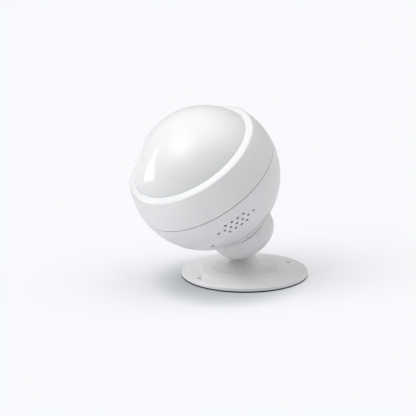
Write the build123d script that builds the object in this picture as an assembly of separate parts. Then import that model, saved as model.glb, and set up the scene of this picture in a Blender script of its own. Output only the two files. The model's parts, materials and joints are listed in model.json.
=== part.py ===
"""Smart speaker: a ball-shaped head with an opal light dome, clamped by a locking collar to a ball
joint on a round stand. Millimetres, +Z up, origin at the centre of the stand's underside.

The stand and the ball are drawn in the row frame. Everything in the head is drawn about the centre
of the ball-shaped casing, with +Z out through the dome and +X towards the loudspeaker, and is then
placed with HEAD. The loudspeaker and the button are drawn along +Z, out through the casing's wall.
"""
from build123d import *
from math import cos, degrees, radians, sin, sqrt
import os

# ---- driving dimensions ----
HEAD_R = 42.0            # outside radius of the ball-shaped casing
LEAN = 35.0              # the head's lean from upright, towards -Y
PIVOT_Z = 24.0           # height of the ball joint's centre
REACH = 46.4             # from the ball joint's centre to the casing's centre
ROLL = 19.0              # turn of the loudspeaker's side about the head's axis
FIT = 0.05               # running clearance of the ball joint's faces

# casing
REAR_INNER_R = 38.9
FRONT_INNER_R = 39.4
SEAM_Z = -2.4            # parting line of the casing's halves
SEAM_GAP = 0.4
TONGUE_R = 40.55
TONGUE_INNER_R = 39.0
TONGUE_TOP = 0.5
BOSS_R = 2.3             # screw bosses for the chassis, the light board and the loudspeaker
LIGHT_BOSS_R = 2.1
SPEAKER_BOSS_R = 2.0
PILOT_R = 0.9            # pilot holes for the self-tapping screws
CLEARANCE_R = 1.1        # holes those screws pass through
RIM_Z = 15.5             # top of the front housing, around the light ring
RIM_BORE_R = 38.7
SHOULDER_Z = 11.2        # shelf that the dome's seal lies on
SHOULDER_R = 36.0

# light dome and ring
DOME_R = 39.1
DOME_WALL = 2.2
DOME_EDGE_R = 34.95
RING_INNER_R = 35.0
RING_INNER_Z = 17.45
FLANGE_BOTTOM = 11.9
FLANGE_TOP = 13.2
LIGHT_BOARD_Z = 6.0
LIGHT_BOARD_R = 37.4
BOARD_T = 1.6
LIGHT_BOSS_PLACES = [60, 180, 300]
LIGHT_BOSS_AT = 35.3

# recess and sound holes
RECESS_HALF = 17.6
RECESS_FLOOR_R = 40.66
RECESS_SWEEP = 38.0
PINHOLE_R = 1.25         # reset hole at the recess's corner
PINHOLE_BACK_R = 2.1     # wider behind the skin
PINHOLE_POLAR = 57.3
PINHOLE_TURN = -31.0
HOLE_R = 0.8
HOLE_BACK_R = 1.15
SKIN_R = 41.2            # holes are wider below this radius
HOLE_PITCH = 3.9
HOLE_ROWS = [(75.7, 4), (71.4, 7), (67.3, 4)]   # angle from the rear pole, number of holes

# neck, as distances behind the casing's centre
NECK_FLOOR = 33.0
NECK_FLOOR_T = 1.5
NECK_END = 46.0
NECK_R = 14.5
NECK_BORE_R = 13.3
NECK_ROOT = 36.0
NECK_ROOT_R = 17.0
NECK_WINDOW_R = 7.0
NECK_SHELF = 37.25       # end of the casing's boss, under the neck ring
NECK_RING_R = 18.35
NECK_RING_END = 38.75
RING_GROOVE = 0.17       # step around the neck ring where it meets the casing
COLLAR_TOP = 38.8
COLLAR_END = 53.0
COLLAR_R = 18.4
COLLAR_BORE_R = 14.65
COLLAR_CURVE = 43.5      # where the collar's side starts to round in
COLLAR_LIP_R = 11.6
THREAD_END = 46.2
SLIT_TURN = 11.0         # side on which the collar's top edge opens
SLIT_TILT = 11.0         # slope of that edge, degrees
SLIT_START = 15.6        # distance from the axis at which it starts
FLUTE_R = 1.2
FLUTE_DEPTH = 0.35
FLUTE_PITCH = 8.0
FLUTE_COUNT = 11
FLUTE_GROUPS = [55, 235]

# ball joint
BALL_R = 9.5
STUD_R = 3.6
SLEEVE_R = 10.6
SLEEVE_OPENING = 24.0
SEAT_R = 13.2
SLEEVE_SLOT = 0.8
UPPER_SEAT_END = 46.1    # as distances behind the casing's centre
LOWER_SEAT_TOP = 46.8
LOWER_SEAT_END = 50.5

# stand
BASE_R = 35.4
RIM_TOP = 2.6
PAD_T = 0.8
POST_R = 5.2
POST_TOP = 12.5
STUD_FOOT = 6.5
STUD_TAP_R = 1.65        # tapped hole in the stud's foot
STUD_TAP_TOP = 14.5
STUD_SCREW_R = 1.6
STUD_CLEARANCE_R = 2.2   # hole in the plate for the stud's screw
WASHER_R = 3.9
WASHER_LOW = 3.1
POCKET_R = 4.3           # pocket under the plate for washer and screw head
POCKET_TOP = 3.6
INNER_STEP_R = 18.9      # the two low steps around the stand's swept middle
OUTER_STEP_R = 24.4
SCREW_HALF_SPACING = 29.5
SCREW_HOLE_R = 1.1
SCREW_SINK_R = 2.9       # shallow dish around each hole
SINK_LOW = 2.55
SINK_HIGH = 2.98

# loudspeaker, along its own axis from the casing's centre
SPEAKER_POLAR = 62.0
SPEAKER_FRONT = 34.0
SPEAKER_R = 15.2
SPEAKER_EAR_AT = 17.0
SPEAKER_BACK = 20.0

# electronics
CHASSIS_Z = -15.0
CHASSIS_T = 1.6
CHASSIS_CUT = 12.0
CHASSIS_SCREWS = [(29.0, a) for a in (90, 150, 210, 270)]
MAIN_BOARD_Z = -1.0
MAIN_BOARD_R = 35.0
MAIN_BOARD_CUT = 15.0
BOARD_POSTS = [(31.0, a) for a in (105, 165, 195, 255)]
BATTERY = (30.0, 46.0, 8.5)
BATTERY_X = -7.0
SOCKET = (7.6, 9.0, 3.2)
SOCKET_Z = -10.0
SOCKET_FACE = -39.4
BUTTON_R = 3.0
BUTTON_POLAR = -45.0
BUTTON_TRAVEL = 0.6

lean = radians(LEAN)
roll = radians(ROLL)
head_axis = Vector(0, -sin(lean), cos(lean))
head_down = Vector(0, -cos(lean), -sin(lean))
head_side = Vector(1, 0, 0) * cos(roll) + head_down * sin(roll)
pivot = Vector(0, 0, PIVOT_Z)
HEAD = Plane(origin=pivot + head_axis * REACH, x_dir=head_side, z_dir=head_axis).location
ROW = Location((0, 0, 0))


def along(polar):
    """Frame at the casing's centre whose +Z points out at this angle from the rear pole."""
    angle = radians(polar)
    outward = Vector(sin(angle), 0, -cos(angle))
    return Plane(origin=(0, 0, 0), x_dir=(0, 1, 0), z_dir=outward).location


SPEAKER = along(SPEAKER_POLAR)
BUTTON = along(BUTTON_POLAR)


# ---- helpers ----
def drum(radius, low, high):
    """Cylinder about Z between two heights."""
    middle = (low + high) / 2
    return Pos(0, 0, middle) * Cylinder(radius, high - low)


def tube(outer, inner, low, high):
    """Ring about Z between two heights."""
    return drum(outer, low, high) - drum(inner, low - 1, high + 1)


def turned(*outline):
    """Solid turned about Z from its (radius, height) outline."""
    points = [(radius, 0, height) for radius, height in outline]
    return revolve(make_face(Polyline(*points, close=True).edges()), Axis.Z)


def slab(low, high):
    """Everything between two heights, wide enough for the whole head."""
    return Pos(0, 0, (low + high) / 2) * Box(120, 120, high - low)


def at(radius, angle, height=0.0):
    """Place on a circle about Z."""
    turn = radians(angle)
    return Pos(radius * cos(turn), radius * sin(turn), height)


def brick(size, x, y, low):
    """Box centred on x, y that stands on a height."""
    return Pos(x, y, low + size[2] / 2) * Box(*size)


def screw(head_r, head_h, shank_r, length):
    """Pan-head screw with a cross slot, its head standing on z = 0 and its shank below."""
    body = drum(head_r, 0, head_h) + drum(shank_r, -length, 0)
    slot = brick((head_r * 1.2, head_r * 0.28, head_h), 0, 0, head_h * 0.5)
    return body - slot - Rot(0, 0, 90) * slot


def save(node, shape, place=ROW):
    """Write one sub-part in the row frame."""
    export_step(place * shape, f"parts/{node}.step")


# ---- stand and ball joint ----
def base_plate():
    """Round stand: thin disc that rises in a trumpet to the post around the ball's neck."""
    sweep = Spline((POST_R, 0, POST_TOP), (6.3, 0, 10.3), (9.0, 0, 7.5), (INNER_STEP_R, 0, 4.75))
    outline = [
        Line((0, 0, PAD_T), (0, 0, POST_TOP)),
        Line((0, 0, POST_TOP), (POST_R, 0, POST_TOP)),
        sweep,
        Polyline(
            (INNER_STEP_R, 0, 4.75), (INNER_STEP_R, 0, 4.5), (OUTER_STEP_R, 0, 3.95),
            (OUTER_STEP_R, 0, 3.7), (31.5, 0, 2.85),
            (BASE_R - 0.2, 0, RIM_TOP), (BASE_R, 0, RIM_TOP - 0.2), (BASE_R, 0, PAD_T + 0.15),
            (BASE_R - 0.15, 0, PAD_T), (0, 0, PAD_T),
        ),
    ]
    edges = [edge for line in outline for edge in line.edges()]
    plate = revolve(make_face(edges), Axis.Z)
    plate -= drum(STUD_R + FIT, STUD_FOOT, POST_TOP + 1)
    plate -= drum(STUD_CLEARANCE_R, PAD_T, STUD_FOOT + 1)
    plate -= drum(POCKET_R, PAD_T - 1, POCKET_TOP)
    for side in (-1, 1):
        place = Pos(0, side * SCREW_HALF_SPACING, 0)
        sink = turned(
            (0, SINK_LOW), (SCREW_HOLE_R, SINK_LOW), (SCREW_SINK_R, SINK_HIGH), (SCREW_SINK_R, 6), (0, 6))
        plate -= place * drum(SCREW_HOLE_R, 0, 6)
        plate -= place * sink
    return plate


def base_pad():
    """Soft pad under the stand, pierced for the two wall screws."""
    pad = drum(BASE_R - 0.1, 0, PAD_T)
    for side in (-1, 1):
        pad -= Pos(0, side * SCREW_HALF_SPACING, 0) * drum(SCREW_HOLE_R + 0.2, -1, PAD_T + 1)
    return pad


def ball_stud():
    """Ball on its neck, tapped from below."""
    stud = Pos(0, 0, PIVOT_Z) * Sphere(BALL_R) + drum(STUD_R, STUD_FOOT, PIVOT_Z)
    return stud - drum(STUD_TAP_R, STUD_FOOT - 1, STUD_TAP_TOP)


def stud_washer():
    """Plain washer under the stud's screw."""
    return tube(WASHER_R, STUD_CLEARANCE_R - 0.1, WASHER_LOW, POCKET_TOP)


def stud_screw():
    """Screw that holds the ball's neck down in the post."""
    return Pos(0, 0, WASHER_LOW) * Rot(180, 0, 0) * screw(3.6, 2.0, STUD_SCREW_R, 10.4)


def ball_sleeve():
    """Split socket around the ball, open towards the neck and slotted like a collet."""
    sleeve = Sphere(SLEEVE_R) - Sphere(BALL_R + FIT)
    reach = 2 * SLEEVE_R
    mouth = reach * sin(radians(SLEEVE_OPENING)) / cos(radians(SLEEVE_OPENING))
    sleeve -= turned((0, 0), (mouth, -reach), (0, -reach))
    for turn in (45, 135):
        sleeve -= Rot(0, 0, turn) * brick((30, SLEEVE_SLOT, 12), 0, 0, -12)
    return Pos(0, 0, PIVOT_Z) * sleeve


def upper_seat():
    """Seat above the ball: a plug that fits the neck's bore."""
    seat = drum(SEAT_R, -UPPER_SEAT_END, -(NECK_FLOOR + NECK_FLOOR_T + FIT))
    seat -= Pos(0, 0, -REACH) * Sphere(SLEEVE_R + FIT)
    return seat - drum(5.5, -40, -30)


def lower_seat():
    """Seat below the ball: a ring that the collar's cone squeezes."""
    ring = turned(
        (0, -LOWER_SEAT_TOP), (13.26, -LOWER_SEAT_TOP), (11.61, -LOWER_SEAT_END), (0, -LOWER_SEAT_END))
    return ring - Pos(0, 0, -REACH) * Sphere(SLEEVE_R + FIT)


def locking_collar():
    """Threaded collar with a rounded end and two groups of shallow grip flutes."""
    rounding = Spline(
        (COLLAR_R, 0, -COLLAR_CURVE), (17.9, 0, -47), (16.3, 0, -50.5), (13.2, 0, -COLLAR_END),
        tangents=((0, 0, -1), (-1, 0, -0.25)),
    )
    outline = [
        Polyline((COLLAR_BORE_R, 0, -COLLAR_TOP), (COLLAR_R - 0.25, 0, -COLLAR_TOP),
                 (COLLAR_R, 0, -COLLAR_TOP - 0.25), (COLLAR_R, 0, -COLLAR_CURVE)),
        rounding,
        Polyline((13.2, 0, -COLLAR_END), (COLLAR_LIP_R + 0.3, 0, -COLLAR_END),
                 (COLLAR_LIP_R, 0, -50.7), (13.6, 0, -THREAD_END),
                 (COLLAR_BORE_R, 0, -THREAD_END), (COLLAR_BORE_R, 0, -COLLAR_TOP)),
    ]
    edges = [edge for line in outline for edge in line.edges()]
    collar = revolve(make_face(edges), Axis.Z)
    hinge = Pos(0, 0, -COLLAR_TOP) * Rot(0, 0, SLIT_TURN) * Pos(SLIT_START, 0, 0)
    collar -= hinge * Rot(0, SLIT_TILT, 0) * brick((40, 40, 4), 20, 0, 0)
    for middle in FLUTE_GROUPS:
        for step in range(FLUTE_COUNT):
            turn = middle + (step - (FLUTE_COUNT - 1) / 2) * FLUTE_PITCH
            centre = COLLAR_R + FLUTE_R - FLUTE_DEPTH
            collar -= at(centre, turn) * drum(FLUTE_R, -COLLAR_END - 1, -COLLAR_TOP - 1.3)
    return collar


# ---- casing ----
def recess_tool():
    """Room for the collar and fingers, swept from the neck towards the loudspeaker."""
    far = 70.0
    turn = radians(RECESS_SWEEP)
    corners = [(0, 0, 0), (0, 0, -far), (far * sin(turn), 0, -far * cos(turn))]
    web = extrude(make_face(Polyline(*corners, close=True).edges()), RECESS_HALF, dir=(0, 1, 0), both=True)
    tool = drum(RECESS_HALF, -far, 0) + along(RECESS_SWEEP) * drum(RECESS_HALF, 0, far)
    return (tool + web) - Sphere(RECESS_FLOOR_R)


def sound_holes():
    """Three staggered rows of round holes, square to the casing and wider behind its skin."""
    step = degrees(HOLE_PITCH / (HEAD_R * sin(radians(HOLE_ROWS[1][0]))))
    holes = []
    for polar, count in HOLE_ROWS:
        for number in range(count):
            turn = (number - (count - 1) / 2) * step
            hole = drum(HOLE_R, 35, 45) + drum(HOLE_BACK_R, 35, SKIN_R)
            holes.append(Rot(0, 0, turn) * along(polar) * hole)
    return holes


def neck():
    """Neck tube with its floor, joined to the casing inside."""
    block = drum(NECK_ROOT_R, -NECK_ROOT, -NECK_FLOOR) + drum(NECK_RING_R, -NECK_SHELF, -NECK_ROOT)
    block += drum(NECK_R, -NECK_END, -NECK_FLOOR)
    block -= drum(NECK_BORE_R, -60, -(NECK_FLOOR + NECK_FLOOR_T))
    return block - drum(NECK_WINDOW_R, -60, 0)


def speaker_places():
    """The loudspeaker's four screw places, about its axis."""
    return [at(SPEAKER_EAR_AT, turn) for turn in (45, 135, 225, 315)]


def rear_housing():
    """Back half of the casing with recess, sound holes, neck, bosses and openings."""
    rim = SEAM_Z - SEAM_GAP / 2
    shell = Sphere(HEAD_R) - recess_tool()
    shell -= drum(NECK_RING_R + 0.15, -60, -NECK_SHELF)
    bosses = [at(radius, turn) * drum(BOSS_R, -32, CHASSIS_Z) for radius, turn in CHASSIS_SCREWS]
    bosses += [SPEAKER * place * drum(SPEAKER_BOSS_R, SPEAKER_FRONT, 37) for place in speaker_places()]
    inside = Sphere(REAR_INNER_R)
    for boss in bosses:
        inside -= boss
    shell -= inside
    shell &= slab(-60, rim)
    shell += tube(TONGUE_R, TONGUE_INNER_R, rim - 0.6, TONGUE_TOP)
    shell += neck()
    shell -= drum(NECK_BORE_R, -60, -(NECK_FLOOR + NECK_FLOOR_T))
    for hole in sound_holes():
        shell -= hole
    pinhole = drum(PINHOLE_R, 38, 45) + drum(PINHOLE_BACK_R, 38, SKIN_R)
    shell -= Rot(0, 0, PINHOLE_TURN) * along(PINHOLE_POLAR) * pinhole
    for radius, turn in CHASSIS_SCREWS:
        shell -= at(radius, turn) * drum(PILOT_R, CHASSIS_Z - 6, CHASSIS_Z)
    for place in speaker_places():
        shell -= SPEAKER * place * drum(0.7, SPEAKER_FRONT - 1, 35.8)
    mouth = Pos(-38, 0, SOCKET_Z) * Box(12, SOCKET[1] + 0.3, SOCKET[2] + 0.3)
    shell -= fillet(mouth.edges().filter_by(Axis.X), 1.5)
    shell -= BUTTON * drum(BUTTON_R + 0.15, 30, 50)
    return shell


def front_housing():
    """Front half of the casing: seat for dome and ring, and bosses for the light board."""
    shell = Sphere(HEAD_R) - Sphere(FRONT_INNER_R)
    shell += (drum(40.2, 9.8, SHOULDER_Z) & Sphere(41))
    for turn in LIGHT_BOSS_PLACES:
        shell += at(LIGHT_BOSS_AT, turn) * drum(LIGHT_BOSS_R, LIGHT_BOARD_Z + BOARD_T, SHOULDER_Z)
    shell -= drum(RIM_BORE_R, SHOULDER_Z, 50)
    cavity = drum(SHOULDER_R, -50, 50)
    for turn in LIGHT_BOSS_PLACES:
        cavity -= at(LIGHT_BOSS_AT, turn) * drum(LIGHT_BOSS_R, LIGHT_BOARD_Z + BOARD_T, SHOULDER_Z)
        shell -= at(LIGHT_BOSS_AT, turn) * drum(PILOT_R, LIGHT_BOARD_Z, SHOULDER_Z - 0.8)
    shell -= cavity
    shell &= slab(SEAM_Z + SEAM_GAP / 2, RIM_Z)
    return shell - drum(TONGUE_R + 0.1, -10, TONGUE_TOP + 0.3)


def neck_ring():
    """Plain ring between the casing and the collar, stepped in where it meets the casing."""
    body = tube(NECK_RING_R, NECK_R + FIT, -NECK_RING_END, -NECK_SHELF - RING_GROOVE)
    return body + tube(NECK_RING_R - 0.5, NECK_R + FIT, -NECK_SHELF - RING_GROOVE, -NECK_SHELF)


# ---- light ----
def dome_diffuser():
    """Opal dome: a spherical cap with a straight skirt and a clamping flange."""
    outer = (Sphere(DOME_R) & drum(DOME_EDGE_R, FLANGE_BOTTOM, 50)) + drum(38.4, FLANGE_BOTTOM, FLANGE_TOP)
    skirt_inner = DOME_EDGE_R - DOME_WALL
    bend = sqrt((DOME_R - DOME_WALL) ** 2 - skirt_inner ** 2)
    inner = Sphere(DOME_R - DOME_WALL) & slab(bend, 50)
    return outer - inner - drum(skirt_inner, 0, bend + 0.01)


def light_ring():
    """Light ring around the dome, with a gently rounded face."""
    crest = Polyline((RIM_BORE_R - FIT, 0, 15.62), (38.2, 0, 16.02))
    face = ThreePointArc((38.2, 0, 16.02), (36.7, 0, 16.95), (RING_INNER_R + 0.35, 0, RING_INNER_Z - 0.02))
    close = Polyline(
        (RING_INNER_R + 0.35, 0, RING_INNER_Z - 0.02), (RING_INNER_R, 0, RING_INNER_Z - 0.2),
        (RING_INNER_R, 0, FLANGE_TOP), (RIM_BORE_R - FIT, 0, FLANGE_TOP), (RIM_BORE_R - FIT, 0, 15.62),
    )
    edges = [edge for line in (crest, face, close) for edge in line.edges()]
    return revolve(make_face(edges), Axis.Z)


def dome_seal():
    """Soft ring between the dome's flange and the housing's shelf."""
    return tube(37.8, 36.2, SHOULDER_Z, FLANGE_BOTTOM)


def light_board():
    """Round board that carries the light-emitting diodes."""
    board = drum(LIGHT_BOARD_R, LIGHT_BOARD_Z, LIGHT_BOARD_Z + BOARD_T)
    for turn in LIGHT_BOSS_PLACES:
        board -= at(LIGHT_BOSS_AT, turn) * drum(CLEARANCE_R, 0, 10)
    return board


def light_baffle():
    """White reflector cup that keeps the dome's light apart from the ring's."""
    low = LIGHT_BOARD_Z + BOARD_T
    return turned((29.0, low), (30.0, low), (32.4, 15.0), (31.4, 15.0))


def dome_leds():
    """Two circles of light-emitting diodes and one in the middle, under the dome."""
    low = LIGHT_BOARD_Z + BOARD_T
    size = (3.0, 3.0, 0.9)
    group = [brick(size, 0, 0, low)]
    for radius, count in ((11.0, 6), (22.0, 12)):
        for number in range(count):
            turn = 360 * number / count
            group.append(at(radius, turn) * Rot(0, 0, turn) * brick(size, 0, 0, low))
    return Compound(children=group)


def ring_leds():
    """One circle of small light-emitting diodes under the light ring."""
    low = LIGHT_BOARD_Z + BOARD_T
    group = []
    for number in range(24):
        turn = 7.5 + 15 * number
        group.append(at(34.2, turn) * Rot(0, 0, turn) * brick((1.6, 1.6, 0.7), 0, 0, low))
    return Compound(children=group)


def light_board_screws():
    """Three screws that hold the light board to the front housing."""
    one = Rot(180, 0, 0) * screw(1.9, 1.1, 0.85, 4.2)
    return Compound(children=[at(LIGHT_BOSS_AT, turn, LIGHT_BOARD_Z) * one for turn in LIGHT_BOSS_PLACES])


# ---- loudspeaker, drawn along its own axis ----
def speaker_frame():
    """Basket: flat rim with four ears, and a windowed cone down to the magnet."""
    rim_low = SPEAKER_FRONT - 1.2
    frame = tube(SPEAKER_R, 13.2, rim_low, SPEAKER_FRONT)
    for place in speaker_places():
        ear = place * drum(SPEAKER_BOSS_R, rim_low, SPEAKER_FRONT)
        frame += ear - drum(14.0, 0, 50)
    for place in speaker_places():
        frame -= place * drum(PILOT_R, 0, 50)
    basket = turned((7.5, 25.4), (8.6, 25.4), (14.4, rim_low), (13.2, rim_low))
    basket += tube(8.6, 5.0, 25.4, 26.4)
    for turn in (0, 90, 180, 270):
        basket -= Rot(0, 0, turn) * brick((10, 7.0, 4.6), 11.5, 0, 27.2)
    return frame + basket


def speaker_cone():
    """Shallow paper cone with its dust cap."""
    cone = turned((4.2, 29.6), (4.6, 29.4), (12.2, 33.0), (12.0, 33.3))
    cap = turned((0, 30.9), (2.6, 30.4), (4.4, 29.5), (4.5, 29.9), (2.7, 30.8), (0, 31.3))
    return cone + cap


def speaker_surround():
    """Half-round rubber roll between cone and basket."""
    roll_outer = Pos(0, 0, SPEAKER_FRONT - 0.7) * Torus(12.65, 0.55)
    return roll_outer - drum(12.2, 0, 33.35)


def speaker_magnet():
    """Magnet with its back plate."""
    return drum(8.2, SPEAKER_BACK, 24.6) + drum(7.4, 24.6, 25.4)


def speaker_gasket():
    """Foam ring from the basket's rim to the wall."""
    return tube(15.0, 13.4, SPEAKER_FRONT, 45) & Sphere(REAR_INNER_R - FIT)


def dust_mesh():
    """Fine mesh on the wall behind the sound holes."""
    patch = Sphere(REAR_INNER_R - FIT) - Sphere(REAR_INNER_R - 0.35)
    return patch & drum(13.2, 20, 45)


def speaker_screws():
    """Four screws that hold the basket to the rear housing."""
    one = Rot(180, 0, 0) * screw(1.5, 1.0, 0.65, 2.8)
    return Compound(children=[place * Pos(0, 0, SPEAKER_FRONT - 1.2) * one for place in speaker_places()])


# ---- electronics ----
def chassis():
    """Inner plate with posts for the main board, a step for the socket and an arm for the switch."""
    top = CHASSIS_Z + CHASSIS_T
    plate = drum(34.0, CHASSIS_Z, top) & (Pos(CHASSIS_CUT - 50, 0, CHASSIS_Z) * Box(100, 100, 10))
    for radius, turn in BOARD_POSTS:
        plate += at(radius, turn) * drum(2.0, CHASSIS_Z, MAIN_BOARD_Z)
    plate += brick((8.0, 11.0, 0.9), -29.5, 0, top - 0.1)
    arm = BUTTON * (Pos(0, 0, 26) * Box(7, 7, 13))
    plate += arm & slab(-60, CHASSIS_Z + 0.5)
    for radius, turn in CHASSIS_SCREWS:
        plate -= at(radius, turn) * drum(1.2, CHASSIS_Z - 1, top + 1)
    for radius, turn in BOARD_POSTS:
        plate -= at(radius, turn) * drum(PILOT_R, MAIN_BOARD_Z - 6, MAIN_BOARD_Z + 1)
    return plate


def chassis_screws():
    """Four screws that hold the chassis to the rear housing."""
    one = screw(2.0, 1.2, 0.85, 6.0)
    top = CHASSIS_Z + CHASSIS_T
    return Compound(children=[at(radius, turn, top) * one for radius, turn in CHASSIS_SCREWS])


def main_board():
    """Main circuit board, cut straight beside the loudspeaker."""
    board = drum(MAIN_BOARD_R, MAIN_BOARD_Z, MAIN_BOARD_Z + BOARD_T)
    board &= Pos(MAIN_BOARD_CUT - 50, 0, MAIN_BOARD_Z) * Box(100, 100, 10)
    for radius, turn in BOARD_POSTS:
        board -= at(radius, turn) * drum(CLEARANCE_R, -5, 5)
    return board


def board_screws():
    """Four screws that hold the main board to the chassis."""
    one = screw(1.8, 1.1, 0.85, 6.0)
    top = MAIN_BOARD_Z + BOARD_T
    return Compound(children=[at(radius, turn, top) * one for radius, turn in BOARD_POSTS])


def wireless_module():
    """Radio and processor module under its shield."""
    top = MAIN_BOARD_Z + BOARD_T
    shield = brick((18.0, 14.0, 2.2), -13.0, 0, top + 0.8)
    return brick((24.0, 16.0, 0.8), -11.0, 0, top) + shield


def amplifier_chip():
    """Audio amplifier."""
    return brick((7.0, 7.0, 1.0), 7.0, 15.0, MAIN_BOARD_Z + BOARD_T)


def microphones():
    """Two microphones at the board's edge beside the sound holes."""
    top = MAIN_BOARD_Z + BOARD_T
    return Compound(children=[brick((3.0, 4.0, 1.1), 12.5, side * 24.0, top) for side in (-1, 1)])


def board_link():
    """Connector between the main board and the light board."""
    low = MAIN_BOARD_Z + BOARD_T
    return brick((14.0, 4.0, LIGHT_BOARD_Z - low), -6.0, 24.0, low)


def battery_pack():
    """Rechargeable pack that lies on the chassis."""
    pack = brick(BATTERY, BATTERY_X, 0, CHASSIS_Z + CHASSIS_T)
    return fillet(pack.edges().filter_by(Axis.Y), 2.5)


def battery_strap():
    """Band over the battery, down to the chassis on both sides."""
    low = CHASSIS_Z + CHASSIS_T
    outer = brick((12.0, BATTERY[1] + 1.2, BATTERY[2] + 0.5), BATTERY_X, 0, low)
    return outer - brick((20.0, BATTERY[1] + 0.1, BATTERY[2]), BATTERY_X, 0, low)


def socket_board():
    """Small board under the charging socket."""
    return brick((8.0, 10.6, 0.9), -31.0, 0, SOCKET_Z - SOCKET[2] / 2 - 0.9)


def usb_socket():
    """Charging socket: a rounded shell with its tongue, in the casing's wall."""
    depth = SOCKET[0]
    body = Pos(SOCKET_FACE + depth / 2, 0, SOCKET_Z) * Box(*SOCKET)
    body = fillet(body.edges().filter_by(Axis.X), 1.4)
    hollow = Pos(SOCKET_FACE + depth / 2 - 1, 0, SOCKET_Z) * Box(depth, SOCKET[1] - 0.8, SOCKET[2] - 0.8)
    hollow = fillet(hollow.edges().filter_by(Axis.X), 1.1)
    tongue = Pos(SOCKET_FACE + depth / 2 + 0.8, 0, SOCKET_Z) * Box(depth - 1.6, 6.2, 0.7)
    return body - hollow + tongue


def pair_button():
    """Small domed button with a collar that keeps it behind the wall."""
    cap = drum(BUTTON_R, 37.4, 50) & Sphere(HEAD_R + 0.1)
    keeper = drum(BUTTON_R + 0.9, 36.9, 37.9)
    return cap + keeper


def button_switch():
    """Tactile switch behind the button."""
    body = Pos(0, 0, 33.9) * Box(6.0, 6.0, 2.8)
    return body + drum(1.5, 35.3, 36.9 - BUTTON_TRAVEL - 0.1)


# ---- write every sub-part ----
STAND_PARTS = [base_plate, base_pad, ball_stud, stud_washer, stud_screw, ball_sleeve]
HEAD_PARTS = [
    upper_seat, lower_seat, locking_collar, rear_housing, front_housing, neck_ring,
    dome_diffuser, light_ring, dome_seal, light_board, light_baffle, dome_leds, ring_leds,
    light_board_screws, chassis, chassis_screws, main_board, board_screws, wireless_module,
    amplifier_chip, microphones, board_link, battery_pack, battery_strap, socket_board, usb_socket,
]
SPEAKER_PARTS = [
    speaker_frame, speaker_cone, speaker_surround, speaker_magnet, speaker_gasket, dust_mesh,
    speaker_screws,
]
BUTTON_PARTS = [pair_button, button_switch]

os.makedirs("parts", exist_ok=True)
for parts, place in (
    (STAND_PARTS, ROW), (HEAD_PARTS, HEAD), (SPEAKER_PARTS, HEAD * SPEAKER), (BUTTON_PARTS, HEAD * BUTTON),
):
    for make in parts:
        save(make.__name__, make(), place)
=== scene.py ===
import json
from math import acos, asin, atan2, cos, pi, radians, sin, sqrt, tan

import bpy
from mathutils import Matrix, Vector


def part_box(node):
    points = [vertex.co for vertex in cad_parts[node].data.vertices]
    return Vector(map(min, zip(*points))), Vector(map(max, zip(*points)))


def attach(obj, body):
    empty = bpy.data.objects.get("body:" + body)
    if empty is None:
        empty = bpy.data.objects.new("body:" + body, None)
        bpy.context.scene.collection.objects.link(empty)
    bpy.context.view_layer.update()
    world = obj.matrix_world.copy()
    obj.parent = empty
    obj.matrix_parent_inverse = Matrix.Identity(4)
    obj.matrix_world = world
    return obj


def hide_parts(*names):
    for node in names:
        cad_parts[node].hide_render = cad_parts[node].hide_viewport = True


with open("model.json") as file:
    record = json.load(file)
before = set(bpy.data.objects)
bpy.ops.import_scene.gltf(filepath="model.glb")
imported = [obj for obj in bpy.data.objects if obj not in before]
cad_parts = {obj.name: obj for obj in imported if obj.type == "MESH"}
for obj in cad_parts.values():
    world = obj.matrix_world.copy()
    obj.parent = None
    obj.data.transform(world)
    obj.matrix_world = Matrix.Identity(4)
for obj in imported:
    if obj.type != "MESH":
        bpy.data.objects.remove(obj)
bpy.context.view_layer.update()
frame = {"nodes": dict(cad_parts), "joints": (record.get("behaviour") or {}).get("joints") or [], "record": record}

# A smart speaker: ball-shaped head with an opal dome, on a ball joint and a round stand. Lengths are
# metres in calls to Blender, and millimetres in the outlines and cutters, which make_object scales by MM.
MM = 0.001

# ---- places, from the frame ----
JOINTS = {joint["name"]: joint for joint in frame["joints"]}
PIVOT = Vector(JOINTS["head_spin"]["pos_m"])
AXIS = Vector(JOINTS["head_spin"]["axis"]).normalized()
casing_low, casing_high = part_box("front_housing")
CASING_R = round((casing_high.x - casing_low.x) / 2 / MM, 0)
LEAN = atan2(-AXIS.y, AXIS.z)
REACH = 46.4                                  # joint centre to casing centre
CENTRE = PIVOT + AXIS * REACH * MM
ROLL = radians(19.0)                          # the loudspeaker's side, about the head's axis
HEAD_DOWN = Vector((0, -cos(LEAN), -sin(LEAN)))
HEAD_X = Vector((1, 0, 0)) * cos(ROLL) + HEAD_DOWN * sin(ROLL)
HEAD_Y = AXIS.cross(HEAD_X)
HEAD = Matrix.Translation(CENTRE) @ Matrix((HEAD_X, HEAD_Y, AXIS)).transposed().to_4x4()
STAND = Matrix.Identity(4)

# ---- outlines' dimensions, millimetres ----
REAR_INNER_R = 38.9
FRONT_INNER_R = 39.4
FLOOR_R = 40.66          # recess floor, from the casing's centre
RECESS_HALF = 17.6
RECESS_SWEEP = radians(38.0)
RECESS_EDGE = 0.45       # width of the recess's rounded edge
RECESS_SHEET_R = 41.3    # sphere on which the recess's outline is measured
SEAM_Z = -2.4            # seam between the casing halves, from the casing's centre
SEAM_HALF = 0.2
TONGUE_R = 40.55
TONGUE_INNER_R = 39.0
TONGUE_TOP = 0.5
RIM_Z = 15.5
RIM_BORE_R = 38.7
DOME_R = 39.1
DOME_EDGE_R = 34.95
DOME_WALL = 2.2
FLANGE_R = 38.4          # dome's flange, held under the light ring
FLANGE_TOP = 13.2
FLANGE_END = 11.9
RING_R = 38.65
HOLE_ROWS = [(75.7, 4), (71.4, 7), (67.3, 4)]   # degrees from the rear pole, number of holes
HOLE_PITCH = 3.9
HOLE_R = 0.8
HOLE_BACK_R = 1.15
PINHOLE_R = 1.25
PINHOLE_BACK_R = 2.1
PINHOLE_POLAR = radians(57.3)
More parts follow.
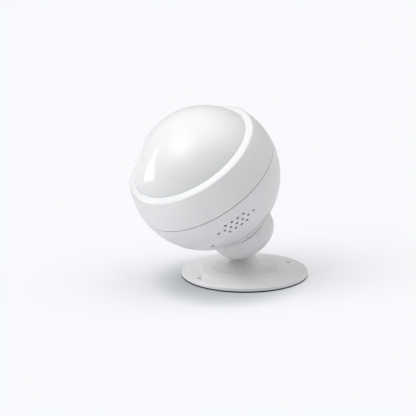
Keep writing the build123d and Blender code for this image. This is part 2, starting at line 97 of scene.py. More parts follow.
PINHOLE_TURN = radians(-31.0)
SKIN_R = 41.2            # sound holes and pinhole are wider below this radius
BUTTON_POLAR = radians(45)
BUTTON_TURN = pi
BUTTON_R = 3.0
SOCKET_HALF = (4.65, 1.75)
SOCKET_CORNER = 1.5
SOCKET_Z = -10.0
NECK_SHELF = 37.25       # depth down the neck from the casing's centre, like the ends and tops below
NECK_RING_R = 18.35
NECK_RING_END = 38.75
NECK_BORE_R = 13.3
NECK_END = 46.0
RING_GROOVE = 0.17
COLLAR_TOP = 38.8
COLLAR_END = 53.0
COLLAR_R = 18.4
COLLAR_SIDE = 39.8       # flutes start here
COLLAR_BORE_R = 14.65
FLUTES = [radians(55), radians(235)]   # middle of each patch of grips
FLUTE_PITCH = radians(8)
FLUTE_COUNT = 11
FLUTE_DEPTH = 0.35
FLUTE_HALF = 0.98        # half the width of a flute
SLIT_TURN = radians(11)
SLIT_HALF = radians(32)  # how far the collar's opening reaches to either side
SLIT_DROP = 0.55
POST_R = 5.2             # stand
POST_TOP = 12.5
TRUMPET_R = 18.9
TRUMPET_END = 4.75
BASE_R = 35.4
PAD_T = 0.8
PAD_R = 35.3
SCREW_AT = 29.5
SCREW_HOLE_R = 1.1


# ---- mesh helpers ----
def arc(radius, start, end, count):
    """Points on a circle about the outline's origin, angles in radians from the r axis."""
    points = []
    for i in range(count + 1):
        angle = start + (end - start) * i / count
        points.append((radius * cos(angle), radius * sin(angle)))
    return points


def rounded(points, radii, steps=5):
    """Closed outline with its corners rounded; a radius of 0 keeps a corner."""
    result = []
    total = len(points)
    for i, (corner, radius) in enumerate(zip(points, radii)):
        if radius <= 0:
            result.append(corner)
            continue
        here = Vector(corner)
        before = (Vector(points[i - 1]) - here).normalized()
        after = (Vector(points[(i + 1) % total]) - here).normalized()
        half = acos(max(-1.0, min(1.0, before.dot(after)))) / 2
        reach = radius / tan(half)
        centre = here + (before + after).normalized() * radius / sin(half)
        first = here + before * reach - centre
        last = here + after * reach - centre
        sweep = first.angle(last)
        for k in range(steps + 1):
            share = k / steps
            blend = (first * sin((1 - share) * sweep) + last * sin(share * sweep)) / sin(sweep)
            result.append(tuple(centre + blend))
    return result


def make_object(name, verts, faces, place):
    """Mesh object in the row frame, smooth where its faces meet softly."""
    mesh = bpy.data.meshes.new(name)
    mesh.from_pydata([place @ (Vector(v) * MM) for v in verts], [], faces)
    mesh.validate()
    mesh.update()
    mesh.shade_smooth()
    mesh.set_sharp_from_angle(angle=radians(32))
    piece = bpy.data.objects.new(name, mesh)
    bpy.context.scene.collection.objects.link(piece)
    return piece


def lathe(name, outline, place, segments=256):
    """Solid turned about Z. outline is a closed list of (r, z), or a function of the azimuth."""
    get = outline if callable(outline) else (lambda turn: outline)
    count = len(get(0.0))
    on_axis = [abs(r) < 1e-6 for r, z in get(0.0)]
    index, verts = {}, []
    for s in range(segments):
        turn = 2 * pi * s / segments
        for i, (r, z) in enumerate(get(turn)):
            if on_axis[i]:
                if s == 0:
                    index[0, i] = len(verts)
                    verts.append((0.0, 0.0, z))
                index[s, i] = index[0, i]
            else:
                index[s, i] = len(verts)
                verts.append((r * cos(turn), r * sin(turn), z))
    faces = []
    for s in range(segments):
        t = (s + 1) % segments
        for i in range(count):
            j = (i + 1) % count
            loop = [index[s, i], index[t, i], index[t, j], index[s, j]]
            face = [v for k, v in enumerate(loop) if v not in loop[:k]]
            if len(face) > 2:
                faces.append(face)
    return make_object(name, verts, faces, place)


def cut(piece, cutters):
    """Takes the cutters out of the piece and removes them."""
    for cutter in cutters:
        step = piece.modifiers.new("cut", "BOOLEAN")
        step.object = cutter
        step.solver = "EXACT"
    graph = bpy.context.evaluated_depsgraph_get()
    mesh = bpy.data.meshes.new_from_object(piece.evaluated_get(graph))
    piece.modifiers.clear()
    old = piece.data
    piece.data = mesh
    bpy.data.meshes.remove(old)
    for cutter in cutters:
        bpy.data.objects.remove(cutter)
    piece.data.shade_smooth()
    piece.data.set_sharp_from_angle(angle=radians(32))


def flats(piece):
    """Keeps broad faces evenly shaded beside their rounded edges."""
    step = piece.modifiers.new("even", "WEIGHTED_NORMAL")
    step.keep_sharp = True
    step.weight = 60


# ---- materials ----
def new_material(name):
    """Material with its nodes, its links and its Principled shader."""
    material = bpy.data.materials.new(name)
    material.use_nodes = True
    nodes = material.node_tree.nodes
    return material, nodes, material.node_tree.links, nodes["Principled BSDF"]


def grain(material_parts, scale, detail=4.0, rough=0.6):
    """Noise on the piece's own coordinates."""
    nodes, links = material_parts
    place = nodes.new("ShaderNodeTexCoord")
    noise = nodes.new("ShaderNodeTexNoise")
    noise.inputs["Scale"].default_value = scale
    noise.inputs["Detail"].default_value = detail
    noise.inputs["Roughness"].default_value = rough
    links.new(place.outputs["Object"], noise.inputs["Vector"])
    return noise.outputs["Fac"]


def ramp(material_parts, source, low, high, start=0.0, end=1.0):
    """Maps a 0-1 value onto another range."""
    nodes, links = material_parts
    step = nodes.new("ShaderNodeMapRange")
    step.inputs["From Min"].default_value = start
    step.inputs["From Max"].default_value = end
    step.inputs["To Min"].default_value = low
    step.inputs["To Max"].default_value = high
    links.new(source, step.inputs["Value"])
    return step.outputs["Result"]


def tint(material_parts, source, dark, light):
    """Blends two colours by a 0-1 value."""
    nodes, links = material_parts
    step = nodes.new("ShaderNodeMix")
    step.data_type = "RGBA"
    step.inputs["A"].default_value = (*dark, 1)
    step.inputs["B"].default_value = (*light, 1)
    links.new(source, step.inputs["Factor"])
    return step.outputs["Result"]


def bumps(material_parts, source, distance, strength=1.0, below=None):
    """Bump from a height, optionally over another bump."""
    nodes, links = material_parts
    step = nodes.new("ShaderNodeBump")
    step.inputs["Strength"].default_value = strength
    step.inputs["Distance"].default_value = distance
    links.new(source, step.inputs["Height"])
    if below is not None:
        links.new(below, step.inputs["Normal"])
    return step.outputs["Normal"]


def moulded(name, colour, roughness, texture=0.02 * MM, grit=2600.0, coat=0.0, subsurface=0.0):
    """Moulded plastic: fine spark texture, faint flow marks and slightly uneven gloss."""
    material, nodes, links, shader = new_material(name)
    parts = (nodes, links)
    fine = grain(parts, grit, 3.0, 0.55)
    broad = grain(parts, 38.0, 3.0, 0.5)
    dark = tuple(c * 0.965 for c in colour)
    cloudy = ramp(parts, broad, 0.0, 1.0, 0.35, 0.65)
    links.new(tint(parts, cloudy, dark, colour), shader.inputs["Base Color"])
    gloss = ramp(parts, broad, roughness - 0.05, roughness + 0.05, 0.3, 0.7)
    links.new(gloss, shader.inputs["Roughness"])
    flow = bumps(parts, broad, 0.05 * MM, 0.25)
    links.new(bumps(parts, fine, texture, 0.6, flow), shader.inputs["Normal"])
    shader.inputs["Coat Weight"].default_value = coat
    shader.inputs["Coat Roughness"].default_value = 0.12
    shader.inputs["Subsurface Weight"].default_value = subsurface
    shader.inputs["Subsurface Radius"].default_value = (1.0, 0.9, 0.8)
    shader.inputs["Subsurface Scale"].default_value = 0.6 * MM
    return material


def metal(name, colour, roughness, grit=900.0, stretch=(1.0, 1.0, 18.0)):
    """Machined or plated metal with fine directional scratches."""
    material, nodes, links, shader = new_material(name)
    parts = (nodes, links)
    place = nodes.new("ShaderNodeTexCoord")
    scale = nodes.new("ShaderNodeMapping")
    scale.inputs["Scale"].default_value = stretch
    links.new(place.outputs["Object"], scale.inputs["Vector"])
    noise = nodes.new("ShaderNodeTexNoise")
    noise.inputs["Scale"].default_value = grit
    noise.inputs["Detail"].default_value = 5.0
    links.new(scale.outputs["Vector"], noise.inputs["Vector"])
    lines = noise.outputs["Fac"]
    dark = tuple(c * 0.82 for c in colour)
    links.new(tint(parts, lines, dark, colour), shader.inputs["Base Color"])
    links.new(ramp(parts, lines, roughness - 0.08, roughness + 0.1, 0.3, 0.7), shader.inputs["Roughness"])
    links.new(bumps(parts, lines, 0.01 * MM, 0.5), shader.inputs["Normal"])
    shader.inputs["Metallic"].default_value = 1.0
    return material


def opal(name, colour, roughness, painted_glow, coat, shine):
    """Opal diffuser: milky and smooth under a clear coat; its emission is painted light that brightens it evenly,
    not light from a lamp inside.
    """
    material, nodes, links, shader = new_material(name)
    parts = (nodes, links)
    broad = grain(parts, 22.0, 2.0, 0.5)
    fine = grain(parts, 1800.0, 2.0, 0.5)
    dark = tuple(c * 0.985 for c in colour)
    links.new(tint(parts, broad, dark, colour), shader.inputs["Base Color"])
    links.new(ramp(parts, broad, roughness - 0.03, roughness + 0.03, 0.3, 0.7), shader.inputs["Roughness"])
    links.new(bumps(parts, fine, 0.004 * MM, 0.4), shader.inputs["Normal"])
    shader.inputs["Subsurface Weight"].default_value = 0.35
    shader.inputs["Subsurface Radius"].default_value = (1.0, 0.96, 0.92)
    shader.inputs["Subsurface Scale"].default_value = 2.5 * MM
    shader.inputs["Coat Weight"].default_value = coat
    shader.inputs["Coat Roughness"].default_value = 0.015
    shader.inputs["Specular IOR Level"].default_value = shine
    shader.inputs["Emission Color"].default_value = (1.0, 1.0, 1.0, 1)
    # painted light: the piece emits evenly though no lamp lights it from inside
    shader.inputs["Emission Strength"].default_value = painted_glow
    return material


def woven(name, colour, pitch):
    """Fine mesh or foam: two crossed bands."""
    material, nodes, links, shader = new_material(name)
    parts = (nodes, links)
    place = nodes.new("ShaderNodeTexCoord")
    heights = []
    for turn in (0.0, 90.0):
        spin = nodes.new("ShaderNodeMapping")
        spin.inputs["Rotation"].default_value = (0, 0, radians(turn))
        links.new(place.outputs["Object"], spin.inputs["Vector"])
        wave = nodes.new("ShaderNodeTexWave")
        wave.inputs["Scale"].default_value = 1.0 / pitch
        links.new(spin.outputs["Vector"], wave.inputs["Vector"])
        heights.append(wave.outputs["Fac"])
    both = nodes.new("ShaderNodeMath")
    both.operation = "MULTIPLY"
    links.new(heights[0], both.inputs[0])
    links.new(heights[1], both.inputs[1])
    dark = tuple(c * 0.4 for c in colour)
    links.new(tint(parts, both.outputs[0], dark, colour), shader.inputs["Base Color"])
    links.new(bumps(parts, both.outputs[0], 0.08 * MM, 0.8), shader.inputs["Normal"])
    shader.inputs["Roughness"].default_value = 0.9
    return material


MATERIALS = {
    "casing_white": moulded("casing_white", (0.72, 0.72, 0.725), 0.40, coat=0.12, subsurface=0.06),
    "stand_white": moulded("stand_white", (0.665, 0.665, 0.67), 0.36, texture=0.014 * MM, coat=0.15),
    "opal_dome": opal("opal_dome", (0.70, 0.705, 0.71), 0.44, 0.0, 0.9, 0.6),
    # the ring's emission of 0.13 is painted light that makes it brighter
    "ring_diffuser": opal("ring_diffuser", (0.81, 0.815, 0.82), 0.45, 0.13, 0.2, 0.5),
    # black pad: partly its own colour, partly standing in for the contact shadow under the stand's rim
    "pad_rubber": moulded("pad_rubber", (0.03, 0.03, 0.032), 0.75, texture=0.05 * MM, grit=900.0),
    "seal_rubber": moulded("seal_rubber", (0.04, 0.04, 0.04), 0.65, texture=0.03 * MM, grit=1200.0),
    "ball_steel": metal("ball_steel", (0.62, 0.62, 0.61), 0.25),
    "screw_steel": metal("screw_steel", (0.60, 0.60, 0.60), 0.33),
    "sleeve_nylon": moulded("sleeve_nylon", (0.68, 0.68, 0.66), 0.45, subsurface=0.1),
    "board_white": moulded("board_white", (0.80, 0.81, 0.80), 0.35, texture=0.01 * MM, coat=0.3),
    "reflector_white": moulded("reflector_white", (0.88, 0.88, 0.88), 0.5),
    "led_lens": moulded("led_lens", (0.85, 0.72, 0.32), 0.2, coat=0.6),
    "chassis_grey": moulded("chassis_grey", (0.10, 0.105, 0.11), 0.55, texture=0.04 * MM, grit=1500.0),
    "board_green": moulded("board_green", (0.015, 0.11, 0.045), 0.32, texture=0.012 * MM, coat=0.35),
    "shield_metal": metal("shield_metal", (0.68, 0.68, 0.66), 0.3),
    "chip_black": moulded("chip_black", (0.015, 0.015, 0.016), 0.5, texture=0.02 * MM),
    "battery_wrap": moulded("battery_wrap", (0.03, 0.06, 0.16), 0.3, coat=0.4),
    "strap_foam": woven("strap_foam", (0.06, 0.06, 0.06), 0.5 * MM),
    "basket_steel": metal("basket_steel", (0.05, 0.05, 0.05), 0.5),
    "cone_paper": moulded("cone_paper", (0.025, 0.025, 0.026), 0.8, texture=0.09 * MM, grit=700.0),
    "magnet_dark": metal("magnet_dark", (0.11, 0.11, 0.115), 0.55),
    "mesh_fabric": woven("mesh_fabric", (0.05, 0.05, 0.05), 0.25 * MM),
}


def dress(piece, slot):
    """Gives the piece the material of a slot."""
    piece.data.materials.clear()
    piece.data.materials.append(MATERIALS[slot])


def stands_for(piece, body, slot, *nodes):
    """Dresses the piece, which moves with a body and replaces CAD nodes."""
    dress(piece, slot)
    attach(piece, body)
    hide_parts(*nodes)


# ---- casing ----
def recess_depth(point):
    """How far the casing is set in at a point on it: 0 outside the recess, full depth inside."""
    lean = min(max(atan2(point.x, -point.z), 0.0), RECESS_SWEEP)
    middle = Vector((sin(lean), 0, -cos(lean)))
    ahead = point.dot(middle)
    if ahead <= 0:
        return 0.0
    away = sqrt(max(point.length_squared - ahead * ahead, 0.0)) - RECESS_HALF
    share = min(max(0.5 - away / RECESS_EDGE, 0.0), 1.0)
    return (CASING_R - FLOOR_R) * share * share * (3 - 2 * share)


def rear_outline(turn):
    """Rear housing: neck, casing with its recess, rim with the seam's tongue, and the inside."""
    outline = [(14.5, -NECK_END), (14.5, -NECK_SHELF), (18.2, -NECK_SHELF)]
    outline.append((NECK_RING_R, -NECK_SHELF + 0.1))
    first = asin(NECK_RING_R / FLOOR_R)
    last = acos((-SEAM_Z + SEAM_HALF + 0.2) / CASING_R)
    steps = 230
    for i in range(steps + 1):
        polar = first + (last - first) * i / steps
        outward = Vector((sin(polar) * cos(turn), sin(polar) * sin(turn), -cos(polar)))
        radius = CASING_R - recess_depth(outward * RECESS_SHEET_R)
        outline.append((radius * sin(polar), -radius * cos(polar)))
    rim = SEAM_Z - SEAM_HALF
    outline += [(41.87, rim - 0.08), (41.78, rim - 0.015), (41.66, rim)]
    outline += [(TONGUE_R, rim), (TONGUE_R, TONGUE_TOP)]
    outline += [(TONGUE_INNER_R, TONGUE_TOP), (TONGUE_INNER_R, rim - 0.6)]
    outline += arc(REAR_INNER_R, -asin(3.4 / REAR_INNER_R), -acos(17.0 / REAR_INNER_R), 40)
    outline += [(17.0, -33.0), (7.0, -33.0), (7.0, -34.5), (NECK_BORE_R, -34.5), (NECK_BORE_R, -NECK_END)]
    return outline


def polar_place(polar, turn):
    """Frame at the casing's centre whose +Z points out at an angle from the rear pole."""
    return HEAD @ Matrix.Rotation(turn, 4, "Z") @ Matrix.Rotation(pi - polar, 4, "Y")


def hole_cutter(polar, turn):
    """Round hole through the wall, wider behind the skin, with a softened edge."""
    edge = CASING_R + 0.02
    outline = [(0, 36.0), (HOLE_BACK_R, 36.0), (HOLE_BACK_R, SKIN_R), (HOLE_R, SKIN_R),
               (HOLE_R, edge - 0.12), (HOLE_R + 0.03, edge - 0.05),
               (HOLE_R + 0.08, edge), (HOLE_R + 0.2, edge + 0.4), (0, edge + 0.4)]
    return lathe("hole", outline, polar_place(polar, turn), 24)


def slot_cutter():
    """Rounded slot in front of the charging socket."""
    wide, high = SOCKET_HALF
    corners = [(-wide, -high), (wide, -high), (wide, high), (-wide, high)]
    outline = rounded(corners, [SOCKET_CORNER] * 4, 6)
    count = len(outline)
    verts = [(x, y, z + SOCKET_Z) for x in (-46.0, -34.0) for y, z in outline]
    sides = [(i, (i + 1) % count, count + (i + 1) % count, count + i) for i in range(count)]
    ends = [tuple(range(count))[::-1], tuple(range(count, 2 * count))]
    return make_object("slot", verts, sides + ends, HEAD)


def rear_housing():
    """Back half of the casing with its holes."""
    piece = lathe("rear_housing_shell", rear_outline, HEAD, 480)
    step = HOLE_PITCH / (CASING_R * sin(radians(HOLE_ROWS[1][0])))
    cutters = []
    for polar, count in HOLE_ROWS:
        for number in range(count):
            cutters.append(hole_cutter(radians(polar), (number - (count - 1) / 2) * step))
    mouth = BUTTON_R + 0.15
    button_hole = [(0, 35.0), (mouth, 35.0), (mouth, 41.6), (mouth + 0.15, 41.75), (mouth + 0.45, 41.95),
                   (mouth + 0.75, 43.0), (0, 43.0)]
    cutters.append(lathe("button_hole", button_hole, polar_place(BUTTON_POLAR, BUTTON_TURN), 64))
    pinhole = [(0, 38.0), (PINHOLE_BACK_R, 38.0), (PINHOLE_BACK_R, SKIN_R), (PINHOLE_R, SKIN_R),
               (PINHOLE_R, 41.8), (PINHOLE_R + 0.05, 41.95), (PINHOLE_R + 0.25, 42.6), (0, 42.6)]
    cutters.append(lathe("pinhole", pinhole, polar_place(PINHOLE_POLAR, PINHOLE_TURN), 48))
    cutters.append(slot_cutter())
    cut(piece, cutters)
    stands_for(piece, "head", "casing_white", "rear_housing")


def front_housing():
    """Front half of the casing, from the seam to the rim round the light ring."""
    low = SEAM_Z + SEAM_HALF
    start = asin((low + 0.25) / CASING_R)
    end = asin((RIM_Z - 0.08) / CASING_R)
    outline = [(41.6, low), (41.76, low + 0.015), (41.88, low + 0.09)]
    outline += arc(CASING_R, start, end, 60)
    outline += [(39.0, RIM_Z - 0.01), (38.93, RIM_Z), (38.78, RIM_Z), (RIM_BORE_R, RIM_Z - 0.08)]
    outline += [(RIM_BORE_R, 11.2), (36.0, 11.2), (36.0, 9.8), (38.1, 9.8)]
    outline += arc(FRONT_INNER_R, asin(9.7 / FRONT_INNER_R), asin(0.8 / FRONT_INNER_R), 16)
    outline += [(TONGUE_R + 0.1, 0.8), (TONGUE_R + 0.1, low)]
    piece = lathe("front_housing_shell", outline, HEAD, 384)
    stands_for(piece, "head", "casing_white", "front_housing")


def neck_ring():
    """Fixed ring under the casing, with a shallow groove above it."""
    top = -NECK_SHELF - RING_GROOVE
    outline = rounded(
        [(14.55, -NECK_SHELF), (14.55, -NECK_RING_END), (NECK_RING_R, -NECK_RING_END), (NECK_RING_R, top),
         (17.85, top), (17.85, -NECK_SHELF)], [0, 0.15, 0.12, 0.08, 0, 0])
    piece = lathe("neck_ring_turned", outline, HEAD, 256)
    flats(piece)
    stands_for(piece, "head", "casing_white", "neck_ring")


def flute(turn):
    """Depth of the grip flutes at an azimuth."""
    deepest = 0.0
    for middle in FLUTES:
        away = (turn - middle + pi) % (2 * pi) - pi
        number = round(away / FLUTE_PITCH)
        if abs(number) > (FLUTE_COUNT - 1) // 2:
            continue
        offset = (away - number * FLUTE_PITCH) * COLLAR_R
        share = max(0.0, 1 - (offset / FLUTE_HALF) ** 2)
        deepest = max(deepest, FLUTE_DEPTH * share)
    return deepest


def collar_outline(turn):
    """Locking collar: plain bore and cone inside; fluted side and rounded end outside."""
    drop = SLIT_DROP * max(0.0, (cos(turn - SLIT_TURN) - cos(SLIT_HALF)) / (1 - cos(SLIT_HALF)))
    top = -COLLAR_TOP - drop
    depth = flute(turn)
    side = [(COLLAR_R - 0.3, top), (COLLAR_R - 0.12, top - 0.05), (COLLAR_R, top - 0.25)]
    side += [(COLLAR_R - depth * k / 4, -COLLAR_SIDE - 0.18 * k) for k in range(5)]
    side += [(COLLAR_R - depth, -42.0), (COLLAR_R - depth, -43.5)]
    fluted = [(18.37, -44.4), (18.28, -45.4), (18.12, -46.4), (17.87, -47.4)]
    side += [(min(r, max(COLLAR_R - depth, r - depth * 0.6)), z) for r, z in fluted]
    side += [(17.5, -48.4), (17.0, -49.4), (16.35, -50.4), (15.6, -51.3), (14.75, -52.1), (13.9, -52.7)]
    side += [(13.3, -52.95), (12.9, -COLLAR_END)]
    inside = [(12.1, -COLLAR_END), (11.8, -52.85), (11.62, -52.5), (11.6, -50.7), (13.6, -46.2)]
    return side + inside + [(COLLAR_BORE_R, -46.2), (COLLAR_BORE_R, top)]


def locking_collar():
    """Collar that clamps the ball joint."""
    piece = lathe("locking_collar_turned", collar_outline, HEAD, 720)
    stands_for(piece, "collar", "casing_white", "locking_collar")


# ---- light ----
def dome():
    """Opal shell: a cap of a sphere on a flange."""
    edge = asin(sqrt(DOME_R ** 2 - DOME_EDGE_R ** 2) / DOME_R)
    inner_r = DOME_R - DOME_WALL
    skirt = DOME_EDGE_R - DOME_WALL
    bend = acos(skirt / inner_r)
    outline = arc(DOME_R, pi / 2, edge, 90)
    outline[0] = (0.0, DOME_R)
    outline += [(DOME_EDGE_R, FLANGE_TOP), (FLANGE_R, FLANGE_TOP)]
    outline += [(FLANGE_R, FLANGE_END), (skirt, FLANGE_END)]
    outline += arc(inner_r, bend, pi / 2, 60)[:-1] + [(0.0, inner_r)]
    piece = lathe("dome_shell", outline, HEAD, 320)
    stands_for(piece, "head", "opal_dome", "dome_diffuser")


def light_ring():
    """Ring between dome and casing, with a crowned face."""
    outline = [(RING_R, FLANGE_TOP), (RING_R, RIM_Z), (38.6, 15.66), (38.45, 15.84)]
    outline += [(38.2, 16.02), (37.8, 16.27), (37.3, 16.58), (36.7, 16.93), (36.1, 17.2), (35.7, 17.36)]
    outline += [(35.4, 17.43), (35.2, 17.42), (35.06, 17.33), (35.0, 17.15), (35.0, FLANGE_TOP)]
    piece = lathe("light_ring_turned", outline, HEAD, 384)
    stands_for(piece, "head", "ring_diffuser", "light_ring")


# ---- stand ----
def trumpet(radius):
    """Height of the stand's swept middle at a radius."""
    share = (radius - POST_R) / (TRUMPET_R - POST_R)
    return TRUMPET_END + (POST_TOP - TRUMPET_END) * (1 - share) ** 3.1


def screw_places():
    """The two screw holes, either side of the stand's middle."""
    return [Matrix.Translation((0, side * SCREW_AT * MM, 0)) for side in (-1, 1)]


def base_plate():
    """Round stand: post, trumpet, two low steps and a raised lip at the rim."""
    outline = [(0.0, PAD_T), (0.0, POST_TOP), (4.95, POST_TOP), (5.12, 12.42), (POST_R, 12.25)]
    swept = [POST_R + (TRUMPET_R - POST_R) * (i / 40) ** 1.6 for i in range(1, 41)]
    outline += [(radius, trumpet(radius)) for radius in swept]
    inner_step = [(19.1, 4.73), (19.3, 4.68), (19.5, 4.6), (19.75, 4.5), (20.1, 4.43)]
    outer_step = [(24.1, 4.01), (24.5, 3.97), (24.75, 3.92), (25.0, 3.8), (25.3, 3.67), (25.7, 3.6)]
    lip = [(31.5, 2.86), (34.3, 2.66), (34.5, 2.6), (34.7, 2.6), (34.85, 2.66), (35.15, 2.64), (35.3, 2.58)]
    rim = [(BASE_R, 2.44), (BASE_R, 0.95), (35.36, 0.84), (35.25, PAD_T)]
    piece = lathe("base_plate_turned", outline + inner_step + outer_step + lip + rim, STAND, 384)
    sink = [(0, 0), (SCREW_HOLE_R, 0), (SCREW_HOLE_R, 2.45), (1.2, 2.55), (2.0, 2.74), (2.9, 2.95)]
    sink += [(3.6, 3.2), (3.7, 6), (0, 6)]
    cutters = [lathe("sink", sink, place, 48) for place in screw_places()]
    bore = [(0, 0), (4.3, 0), (4.3, 3.6), (2.2, 3.6), (2.2, 6.5), (3.65, 6.5), (3.65, 13), (0, 13)]
    cutters.append(lathe("bore", bore, STAND, 64))
    cut(piece, cutters)
    flats(piece)
    stands_for(piece, "base", "stand_white", "base_plate")


def base_pad():
    """Soft disc under the stand, with room for the screws. Its black is partly the rubber's own colour and partly
    stands in for the contact shadow under the rim.
    """
    outline = rounded([(0.0, 0.0), (0.0, PAD_T), (PAD_R, PAD_T), (PAD_R, 0.0)], [0, 0, 0.1, 0.15])
    piece = lathe("base_pad_disc", outline, STAND, 256)
    hole_r = SCREW_HOLE_R + 0.2
    hole = [(0, -1), (hole_r, -1), (hole_r, 2), (0, 2)]
    cut(piece, [lathe("pad_hole", hole, place, 32) for place in screw_places()])
    stands_for(piece, "base", "pad_rubber", "base_pad")


def pair_button():
    """Cap with a dished face and a flange behind the casing's wall."""
    dish = [(0.0, 41.9), (1.2, 41.93), (2.2, 42.0), (2.62, 42.0), (2.85, 41.9), (2.98, 41.7)]
    side = [(BUTTON_R, 41.4), (BUTTON_R, 37.9), (3.9, 37.9), (3.9, 36.9)]
    outline = [(0.0, 36.9)] + dish + side
    piece = lathe("pair_button_cap", outline, polar_place(BUTTON_POLAR, BUTTON_TURN), 96)
    stands_for(piece, "button", "casing_white", "pair_button")


# ---- carried-over pieces ----
def dress_frame():
    """Every CAD node takes the material of its slot."""
    slots = {part["node"]: part["material_slot"] for part in frame["record"]["subparts"]}
    for node, piece in frame["nodes"].items():
        dress(piece, slots[node])


# ---- stage ----
# RIGHT, UP and BACK are the view's axes; BACK points from the object to the camera.
AZIMUTH = radians(57.5)
ELEVATION = radians(15.7)
RIGHT = Vector((cos(AZIMUTH), sin(AZIMUTH), 0))
BACK = Vector((sin(AZIMUTH) * cos(ELEVATION), -cos(AZIMUTH) * cos(ELEVATION), sin(ELEVATION)))
UP = BACK.cross(RIGHT)
TOWARDS = Vector((BACK.x, BACK.y, 0)).normalized()
LENS = 300.0
SENSOR = 36.0
VIEW_WIDTH = 0.231       # what the view takes in at the object, metres
AIM = CENTRE + RIGHT * 0.0018 - UP * 0.0183

FLOOR_SIZE = 6.0
# The floor's colour holds a painted shadow around the stand, placed and sized here; no lamp casts it.
PAINTED_SHADOW_AT = TOWARDS * 0.011 - RIGHT * 0.010    # middle of the shadow painted on the floor
PAINTED_SHADOW_SQUEEZE = 0.8                           # below 1 the painted shadow reaches further to the front and back
PAINTED_SHADOW_REACH = (0.024, 0.048)                  # radii between which it fades out

WINDOW_DISTANCE = 0.27
WINDOW_TOP = 0.54                             # ends of the pane, as shares of its distance
WINDOW_BOTTOM = -0.10
WINDOW_STEPS = 8
WINDOW_GLOW = 3.5

SKY = 0.44
SKY_LIGHTS = [                                # direction, strength, sharpness
    (Vector((0, 0, 1)) + RIGHT * 0.1, 1.12, 6.0),
    (UP * 0.66 - RIGHT * 0.58 + BACK * 0.47, 2.9, 16.0),
    (RIGHT + UP * 0.9, 0.3, 4.0),
]


def camera():
    """Long lens, looking slightly down at the object."""
    data = bpy.data.cameras.new("camera")
    data.lens = LENS
    data.sensor_width = SENSOR
    data.clip_end = 20.0
    eye = bpy.data.objects.new("camera", data)
    place = Matrix((RIGHT, UP, BACK)).transposed().to_4x4()
    distance = VIEW_WIDTH * LENS / SENSOR
    eye.matrix_world = Matrix.Translation(AIM + BACK * distance) @ place
    bpy.context.scene.collection.objects.link(eye)
    bpy.context.scene.camera = eye


def softbox(name, direction, distance, size, power, only=(), mirrored=True):
    """Area light that faces the head; it can light only some pieces and leave no reflection."""
    data = bpy.data.lights.new(name, "AREA")
    data.shape = "RECTANGLE"
    data.size, data.size_y = size
    data.energy = power
    light = bpy.data.objects.new(name, data)
    along = (RIGHT * direction[0] + UP * direction[1] + BACK * direction[2]).normalized()
    light.location = CENTRE + along * distance
    light.rotation_euler = along.to_track_quat("Z", "Y").to_euler()
    light.visible_camera = False
    light.visible_glossy = mirrored
    bpy.context.scene.collection.objects.link(light)
    if only:
        lit = bpy.data.collections.new(name + "_lit")
        for piece in only:
            lit.objects.link(bpy.data.objects[piece])
        light.light_linking.receiver_collection = lit


def lamp(name, place, radius, power, lit, blockers):
    """Small lamp for some pieces only, shaded by others."""
    data = bpy.data.lights.new(name, "POINT")
    data.shadow_soft_size = radius
    data.energy = power
    light = bpy.data.objects.new(name, data)
    light.location = place
    light.visible_camera = False
    bpy.context.scene.collection.objects.link(light)
    for role, pieces in (("receiver_collection", lit), ("blocker_collection", blockers)):
        group = bpy.data.collections.new(f"{name}_{role}")
        for piece in pieces:
            group.objects.link(bpy.data.objects[piece])
        setattr(light.light_linking, role, group)


def window():
    """Glowing pane, seen only as the narrow highlight on the dome's left side.

    Both edges curve: the far one away from the camera towards the bottom, the near one towards it.
    """
    mesh = bpy.data.meshes.new("window")
    corners = []
    for i in range(WINDOW_STEPS + 1):
        share = i / WINDOW_STEPS
        up = WINDOW_TOP + (WINDOW_BOTTOM - WINDOW_TOP) * share
        far = -0.09 - 0.29 * share ** 2
        near = 0.09 - 0.16 * (1 - share) ** 2.5
        for back in (far, near):
            along = BACK * back + UP * up - RIGHT * sqrt(1 - up * up - back * back)
            corners.append(CENTRE + along * WINDOW_DISTANCE)
    panes = [(i, i + 1, i + 3, i + 2) for i in range(0, 2 * WINDOW_STEPS, 2)]
    mesh.from_pydata(corners, [], panes)
    material, _, _, shader = new_material("window")
    shader.inputs["Base Color"].default_value = (0, 0, 0, 1)
    shader.inputs["Emission Color"].default_value = (1, 1, 1, 1)
    shader.inputs["Emission Strength"].default_value = WINDOW_GLOW
    pane = bpy.data.objects.new("window", mesh)
    pane.data.materials.append(material)
    pane.visible_camera = False
    pane.visible_diffuse = False
    pane.visible_shadow = False
    bpy.context.scene.collection.objects.link(pane)


def painted_ground_shadow(nodes, links):
    """Mask of the shadow painted on the floor: 1 under the stand, falling softly to 0 around it; wider at the left
    and the front.
    """
    place = nodes.new("ShaderNodeTexCoord")
    offset = nodes.new("ShaderNodeVectorMath")
    offset.operation = "SUBTRACT"
    offset.inputs[1].default_value = PAINTED_SHADOW_AT
    links.new(place.outputs["Object"], offset.inputs[0])
    flat = nodes.new("ShaderNodeCombineXYZ")
    for number, direction in enumerate((RIGHT, TOWARDS * PAINTED_SHADOW_SQUEEZE)):
        along = nodes.new("ShaderNodeVectorMath")
        along.operation = "DOT_PRODUCT"
        along.inputs[1].default_value = direction
        links.new(offset.outputs["Vector"], along.inputs[0])
        links.new(along.outputs["Value"], flat.inputs[number])
    away = nodes.new("ShaderNodeVectorMath")
    away.operation = "LENGTH"
    links.new(flat.outputs["Vector"], away.inputs[0])
    fade = nodes.new("ShaderNodeMapRange")
    fade.interpolation_type = "SMOOTHSTEP"
    fade.inputs["From Min"].default_value = PAINTED_SHADOW_REACH[0]
    fade.inputs["From Max"].default_value = PAINTED_SHADOW_REACH[1]
    fade.inputs["To Min"].default_value = 1.0
    fade.inputs["To Max"].default_value = 0.0
    links.new(away.outputs["Value"], fade.inputs["Value"])
    return fade.outputs["Result"]


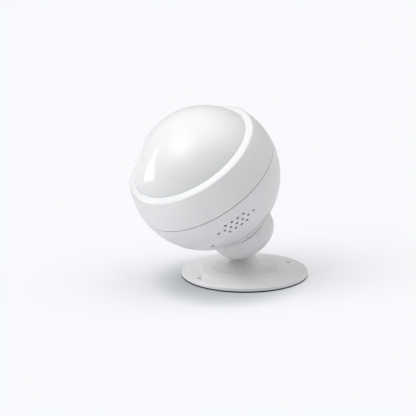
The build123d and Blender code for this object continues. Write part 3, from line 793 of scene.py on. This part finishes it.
def floor():
    """Pale ground with a painted grey shadow around the stand."""
    material, nodes, links, shader = new_material("floor")
    parts = (nodes, links)
    painted_shadow = painted_ground_shadow(nodes, links)
    # painted shadow: the floor's colour goes from pale to bluish grey under and around the stand
    links.new(tint(parts, painted_shadow, (0.935, 0.94, 0.95), (0.67, 0.69, 0.72)), shader.inputs["Base Color"])
    shader.inputs["Roughness"].default_value = 0.9
    shader.inputs["Specular IOR Level"].default_value = 0.1
    mesh = bpy.data.meshes.new("floor")
    corners = [(x * FLOOR_SIZE, y * FLOOR_SIZE, 0) for x, y in ((-1, -1), (1, -1), (1, 1), (-1, 1))]
    mesh.from_pydata(corners, [], [(0, 1, 2, 3)])
    ground = bpy.data.objects.new("floor", mesh)
    ground.data.materials.append(material)
    bpy.context.scene.collection.objects.link(ground)


def lobe(nodes, links, aim, strength, sharpness):
    """Soft light from one side of the sky."""
    place = nodes.new("ShaderNodeTexCoord")
    turn = nodes.new("ShaderNodeVectorMath")
    turn.operation = "DOT_PRODUCT"
    turn.inputs[1].default_value = aim.normalized()
    links.new(place.outputs["Generated"], turn.inputs[0])
    value = turn.outputs["Value"]
    for operation, number in (("MAXIMUM", 0.0), ("POWER", sharpness), ("MULTIPLY", strength)):
        step = nodes.new("ShaderNodeMath")
        step.operation = operation
        step.inputs[1].default_value = number
        links.new(value, step.inputs[0])
        value = step.outputs[0]
    return value


def studio():
    """Pale sky with three broad soft lights in it, small lights for some pieces, and the window."""
    world = bpy.data.worlds.new("studio")
    world.use_nodes = True
    nodes, links = world.node_tree.nodes, world.node_tree.links
    sky = nodes["Background"]
    sky.inputs["Color"].default_value = (0.985, 0.99, 1.0, 1)
    total = nodes.new("ShaderNodeValue")
    total.outputs[0].default_value = SKY
    value = total.outputs[0]
    for aim, strength, sharpness in SKY_LIGHTS:
        step = nodes.new("ShaderNodeMath")
        links.new(value, step.inputs[0])
        links.new(lobe(nodes, links, aim, strength, sharpness), step.inputs[1])
        value = step.outputs[0]
    links.new(value, sky.inputs["Strength"])
    bpy.context.scene.world = world
    softbox("dome_light", (-0.56, 0.74, 0.16), 0.5, (0.3, 0.3), 1.17, ["dome_shell"], mirrored=False)
    softbox("stand_fill", (-1.0, 0.5, 0.3), 0.45, (0.15, 0.12), 1.2, ["base_plate_turned"])
    softbox("stand_side", (1.0, -0.05, 0.2), 0.45, (0.12, 0.06), 0.15, ["base_plate_turned"])
    lamp("stand_light", CENTRE + BACK * 0.02 - RIGHT * 0.022, 0.025, 0.056,
         ["base_plate_turned"], ["locking_collar_turned"])
    softbox("bounce", (-0.7, -0.45, 0.45), 0.11, (0.08, 0.04), 0.009,
            ["rear_housing_shell", "front_housing_shell", "locking_collar_turned"])
    window()
    bpy.context.scene.view_settings.view_transform = "Standard"


camera()
dress_frame()
rear_housing()
front_housing()
neck_ring()
locking_collar()
dome()
light_ring()
base_plate()
base_pad()
pair_button()
floor()
studio()
